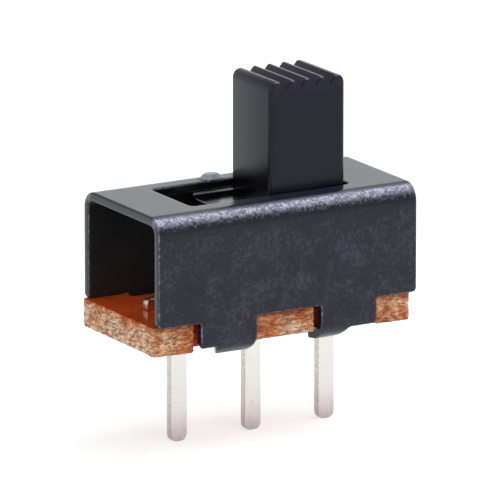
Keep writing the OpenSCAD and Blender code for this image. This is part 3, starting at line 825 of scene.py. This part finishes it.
patch_mottle = add(tree, "ShaderNodeMapRange", {
    "Value": spark, "From Min": 0.35, "From Max": 0.65, "To Min": 0.3, "To Max": 1.0})
painted_reflection_patch = add(tree, "ShaderNodeMath", {0: painted_reflection_patch, 1: patch_mottle}, operation="MULTIPLY")
painted_highlights = line
for mark in (tip, painted_reflection_patch):
    painted_highlights = add(tree, "ShaderNodeMath", {0: painted_highlights, 1: mark}, operation="MAXIMUM")
painted_highlights = add(tree, "ShaderNodeMath", {0: painted_highlights, 1: on_plate}, operation="MULTIPLY")
crest_end = add(tree, "ShaderNodeMath", {0: crest_end, 1: near_crest}, operation="MULTIPLY")
for mark in (crest, crest_end):
    painted_highlights = add(tree, "ShaderNodeMath", {0: painted_highlights, 1: mark}, operation="MAXIMUM")
# A purple painted reflection on the ridges, then the pale painted highlights.
for share, code in ((ridged, "#16121f"), (painted_highlights, "#c4c2cf")):
    tone = add(tree, "ShaderNodeMix", {
        "Factor": share, "A": tone, "B": hex_colour(code)}, data_type="RGBA")
gloss = add(tree, "ShaderNodeMapRange", {
    "Value": flow, "From Min": 0.3, "From Max": 0.7, "To Min": 0.2, "To Max": 0.28})
polished = add(tree, "ShaderNodeMath", {0: on_plate, 1: -0.14, 2: gloss}, operation="MULTIPLY_ADD")
satin = add(tree, "ShaderNodeBump", {
    "Height": spark, "Strength": 0.15, "Distance": 0.006 * MM})
moulded = add(tree, "ShaderNodeBsdfPrincipled", {
    "Base Color": tone, "Roughness": polished, "IOR": 1.37,
    "Specular Tint": hex_colour("#e2deff"), "Normal": satin})
add(tree, "ShaderNodeOutputMaterial", {"Surface": moulded})

# The knob's root is sunk in the carriage.
knob_outline = rounded_path([
    (-KNOB_HALF_LENGTH, carriage_top - KNOB_ROOT, KNOB_ROOT_CORNER),
    (KNOB_HALF_LENGTH, carriage_top - KNOB_ROOT, KNOB_ROOT_CORNER),
    (KNOB_HALF_LENGTH, slider_high.z, KNOB_TOP_CORNER),
    (-KNOB_HALF_LENGTH, slider_high.z, KNOB_TOP_CORNER)], KNOB_STEP)


def knob_edge(point):
    """Radius of the knob's corners: wide up its sides and narrow along its top."""
    upright = min(1.0, max(0.0, (slider_high.z - point.y) / KNOB_TOP_CORNER))
    return KNOB_TOP_EDGE + (KNOB_UPRIGHT_EDGE - KNOB_TOP_EDGE) * upright


bm = cut_slab([knob_outline], KNOB_WIDTH, knob_edge, edge_steps=5)
for vert in bm.verts:
    vert.co = (vert.co.x + KNOB_MIDDLE, -vert.co.z, vert.co.y)
knob = place_mesh(bm, "knob")

# Ridges: V grooves across the top, repeated along it, with rounded crests. They
# are worked out in steps, as the bend is.
ridge, given = start_geometry("mould_ridges", ("Geometry", "NodeSocketGeometry"), (
    "Middle", "Crest", "Pitch", "Depth", "Land", "Rounding"), ("Ridges",))
axes = add(ridge, "ShaderNodeSeparateXYZ", {
    "Vector": add(ridge, "GeometryNodeInputPosition")}).outputs
worked = {socket.name: socket for socket in (*given, *axes)}
for result, operation, *parts in (
        ("along", "SUBTRACT", "X", "Middle"), ("from_middle", "ABSOLUTE", "along"),
        ("gaps", "SUBTRACT", "Ridges", 1.0), ("half_land", "MULTIPLY", "Land", 0.5),
        ("half_pitch", "MULTIPLY", "Pitch", 0.5), ("half_span", "MULTIPLY", "gaps", "half_pitch"),
        ("steps", "ADD", "along", "half_span"), ("steps", "DIVIDE", "steps", "Pitch"),
        ("nearest", "ROUND", "steps"), ("off_crest", "SUBTRACT", "steps", "nearest"),
        ("off_crest", "ABSOLUTE", "off_crest"), ("off_crest", "MULTIPLY", "off_crest", "Pitch"),
        ("run", "SUBTRACT", "half_pitch", "half_land"), ("slope", "DIVIDE", "Depth", "run"),
        ("drop", "SUBTRACT", "off_crest", "half_land"), ("drop", "MULTIPLY", "drop", "slope"),
        ("drop", "SMOOTH_MAX", "drop", 0.0, "Rounding"),
        ("between", "LESS_THAN", "from_middle", "half_span"),
        ("foot", "SUBTRACT", "Crest", "Depth"), ("near_top", "GREATER_THAN", "Z", "foot"),
        ("drop", "MULTIPLY", "drop", "between"), ("drop", "MULTIPLY", "drop", "near_top"),
        ("drop", "MULTIPLY", "drop", -1.0)):
    worked[result] = add(ridge, "ShaderNodeMath", {
        i: worked.get(part, part) for i, part in enumerate(parts)}, operation=operation)
lowered = add(ridge, "ShaderNodeCombineXYZ", {"Z": worked["drop"]})
moved = add(ridge, "GeometryNodeSetPosition", {"Geometry": given["Geometry"], "Offset": lowered})
real = add(ridge, "GeometryNodeRealizeInstances", {"Geometry": moved})
finished = add(ridge, "GeometryNodeSetMaterial", {"Geometry": real, "Material": nylon})
add(ridge, "NodeGroupOutput", {"Geometry": finished})
run_geometry(knob, ridge, {
    "Middle": KNOB_MIDDLE, "Crest": slider_high.z, "Ridges": RIDGES,
    "Pitch": RIDGE_PITCH, "Depth": RIDGE_DEPTH, "Land": RIDGE_LAND, "Rounding": CREST_ROUNDING})

# The carriage keeps the CAD solid's pocket, groove and hole below the knob. Its
# copy is merged, cut off flat under the knob and closed again.
bm = bmesh.new()
bm.from_mesh(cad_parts["slider"].data)
bmesh.ops.remove_doubles(bm, verts=bm.verts, dist=MERGE_WITHIN)
cut = bmesh.ops.bisect_plane(
    bm, geom=bm.verts[:] + bm.edges[:] + bm.faces[:],
    plane_co=(0, 0, carriage_top - CARRIAGE_CUT), plane_no=(0, 0, 1), clear_outer=True)
rim = [item for item in cut["geom_cut"] if isinstance(item, bmesh.types.BMEdge)]
bmesh.ops.triangle_fill(bm, edges=rim, use_beauty=True, use_dissolve=False)
bmesh.ops.dissolve_limit(bm, angle_limit=FLAT_WITHIN, verts=bm.verts, edges=bm.edges)
bmesh.ops.recalc_face_normals(bm, faces=bm.faces)
for face in bm.faces:
    face.smooth = False
bm.from_mesh(knob.data)
bpy.data.objects.remove(knob)
slider = place_mesh(bm, "ridged_slider")
slider.data.materials.append(nylon)
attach(slider, "slider")
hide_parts("slider")


# ---------------------------------------------------------------------------
# Contact clip: a strip of silver-plated spring bronze, bent into a low arch.
# It sits in the slider's pocket and wipes along the terminals' rails.
# ---------------------------------------------------------------------------

# Silver plate over rolled spring bronze: bright and a little yellow, with the
# fine lines of rolling along the strip, drawn 0.06 mm apart so that they show.
silver, tree = start_material("silvered_bronze")
place = add(tree, "ShaderNodeTexCoord").outputs["Object"]
rolled = add(tree, "ShaderNodeMapping", {"Vector": place, "Scale": (0.15, 1.0, 1.0)})
lines = add(tree, "ShaderNodeTexNoise", {
    "Vector": rolled, "Scale": 1 / (0.06 * MM), "Detail": 3.0})
tone = add(tree, "ShaderNodeValToRGB", {"Fac": lines}, stops=[
    (0.35, "#c9bfa6"), (0.65, "#e8e2d2")])
strip = add(tree, "ShaderNodeBsdfPrincipled", {
    "Base Color": tone, "Metallic": 1.0, "Roughness": 0.25})
add(tree, "ShaderNodeOutputMaterial", {"Surface": strip})
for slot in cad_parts["contact_clip"].material_slots:
    slot.material = silver


# ---------------------------------------------------------------------------
# Detent: a hardened steel ball on a coil of spring wire, dropped into the
# carriage's hole before the case goes on. Both are sealed in from then on.
# ---------------------------------------------------------------------------

# Tumbled bearing steel: a mirror finish with a faint haze of oil.
steel, tree = start_material("polished_steel")
place = add(tree, "ShaderNodeTexCoord").outputs["Object"]
haze = add(tree, "ShaderNodeTexNoise", {"Vector": place, "Scale": 1 / (0.1 * MM), "Detail": 2.0})
dull = add(tree, "ShaderNodeMapRange", {
    "Value": haze, "From Min": 0.3, "From Max": 0.7, "To Min": 0.08, "To Max": 0.2})
bright = add(tree, "ShaderNodeBsdfPrincipled", {
    "Base Color": hex_colour("#c9c9cc"), "Metallic": 1.0, "Roughness": dull})
add(tree, "ShaderNodeOutputMaterial", {"Surface": bright})
for node in ("detent_ball", "detent_spring"):
    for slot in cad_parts[node].material_slots:
        slot.material = steel


# ---------------------------------------------------------------------------
# Stage: a plain white floor under the pins, which is clear from below, a white
# room with a greyer ceiling, and three softboxes.
# ---------------------------------------------------------------------------

FLOOR_HALF = 3.0
LAMPS = (
    # name, direction from the switch, distance, width, length, watts
    ("overhead_softbox", (0.5, -0.14, 0.83), 0.5, 0.42, 0.6, 1.7),
    ("front_softbox", (0.1, -0.8, 0.6), 0.7, 0.4, 0.4, 0.6),
    ("left_softbox", (-0.9, -0.25, 0.35), 0.6, 0.5, 0.5, 0.6),
)
LAMP_AIM = Vector((0, 0, 3.6 * MM))

bm = bmesh.new()
bm.faces.new([
    bm.verts.new((x * FLOOR_HALF, y * FLOOR_HALF, cad_box[0][2]))
    for x, y in ((-1, -1), (1, -1), (1, 1), (-1, 1))])
floor = place_mesh(bm, "floor")


def seen_directly(tree):
    """1 for a ray from the camera, a reflection or glass, and 0 for any other."""
    rays = add(tree, "ShaderNodeLightPath").outputs
    seen = add(tree, "ShaderNodeMath", {
        0: rays["Is Camera Ray"], 1: rays["Is Glossy Ray"]}, operation="MAXIMUM")
    return add(tree, "ShaderNodeMath", {
        0: seen, 1: rays["Is Transmission Ray"]}, operation="MAXIMUM")


# Matt white paper: its own glow makes it up to white, and it keeps the shadow.
paper_white, tree = start_material("white_paper_floor")
glow = add(tree, "ShaderNodeMath", {0: seen_directly(tree), 1: 0.56}, operation="MULTIPLY")
glowing = add(tree, "ShaderNodeEmission", {"Color": (1, 1, 1, 1), "Strength": glow})
matt = add(tree, "ShaderNodeBsdfDiffuse", {"Color": hex_colour("#c9cfcf")})
both = add(tree, "ShaderNodeAddShader", {0: matt, 1: glowing})
below = add(tree, "ShaderNodeNewGeometry").outputs["Backfacing"]
shown = add(tree, "ShaderNodeMixShader", {
    0: below, 1: both, 2: add(tree, "ShaderNodeBsdfTransparent")})
add(tree, "ShaderNodeOutputMaterial", {"Surface": shown})
floor.data.materials.append(paper_white)

world = bpy.data.worlds.new("white_room")
world.use_nodes = True
tree = world.node_tree
tree.nodes.clear()
upwards = add(tree, "ShaderNodeSeparateXYZ", {
    "Vector": add(tree, "ShaderNodeTexCoord").outputs["Generated"]}).outputs["Z"]
ceiling = add(tree, "ShaderNodeMapRange", {
    "Value": upwards, "From Min": 0.3, "From Max": 0.45, "To Min": 1.0, "To Max": 0.6})
strength = add(tree, "ShaderNodeMath", {0: ceiling, 1: seen_directly(tree)}, operation="MULTIPLY")
strength = add(tree, "ShaderNodeMath", {0: strength, 1: 0.6}, operation="MAXIMUM")
sky = add(tree, "ShaderNodeBackground", {"Color": (1, 1, 1, 1), "Strength": strength})
add(tree, "ShaderNodeOutputWorld", {"Surface": sky})
bpy.context.scene.world = world

for name, direction, distance, width, length, watts in LAMPS:
    lamp = bpy.data.lights.new(name, "AREA")
    lamp.shape = "RECTANGLE"
    lamp.size = width
    lamp.size_y = length
    lamp.energy = watts
    holder = place_object(name, lamp)
    away = Vector(direction).normalized()
    holder.location = LAMP_AIM + away * distance
    holder.rotation_euler = away.to_track_quat("Z", "Y").to_euler()

CAMERA_AZIMUTH = math.radians(30.447)
CAMERA_ELEVATION = math.radians(14.41)
CAMERA_DISTANCE = 384 * MM
CAMERA_AIM = Vector((0.0, 0.054 * MM, 3.605 * MM))
CAMERA_LENS = 648.66

camera = place_object("camera", bpy.data.cameras.new("camera"))
camera.data.sensor_width = 36.0
camera.data.lens = CAMERA_LENS
camera.data.clip_start = 0.01
camera.data.clip_end = 20.0
looking = Vector((
    math.sin(CAMERA_AZIMUTH) * math.cos(CAMERA_ELEVATION),
    math.cos(CAMERA_AZIMUTH) * math.cos(CAMERA_ELEVATION),
    -math.sin(CAMERA_ELEVATION)))
camera.location = CAMERA_AIM - looking * CAMERA_DISTANCE
camera.rotation_euler = looking.to_track_quat("-Z", "Y").to_euler()
bpy.context.scene.camera = camera
bpy.context.scene.view_settings.view_transform = "Standard"
